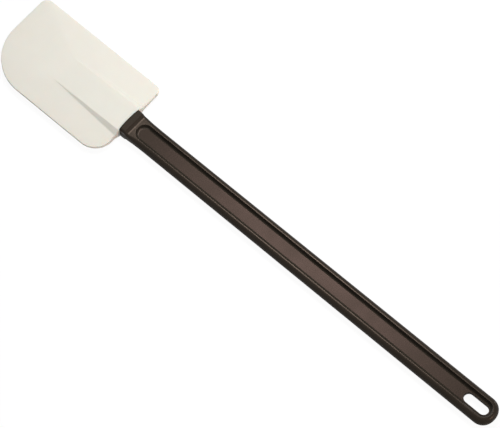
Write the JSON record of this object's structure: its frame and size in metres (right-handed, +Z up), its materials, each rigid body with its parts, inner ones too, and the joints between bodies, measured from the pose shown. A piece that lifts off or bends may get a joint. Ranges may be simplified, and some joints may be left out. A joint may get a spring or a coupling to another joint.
{
  "type": "rubber spatula",
  "caption": "Long spatula: bevelled rubber blade with a square and a rounded front corner, moulded onto a slim plastic handle with a collar, sunk panels and a hanging slot.",
  "frame": {"origin": "middle of the bounding box at its base, which is the underside of the collar", "axes": "+X from the blade's front edge to the hanging slot, +Y across towards the blade's square front corner, +Z up through the thickness"},
  "size_m": [0.4502, 0.0688, 0.012],
  "materials": {
    "dark_nylon": "dark brown glass-filled nylon, satin rims and finely grained panels",
    "off_white_rubber": "smooth matte off-white rubber"
  },
  "bodies": {
    "root": {"handle": "dark_nylon", "blade": "off_white_rubber"}
  },
  "joints": []
}
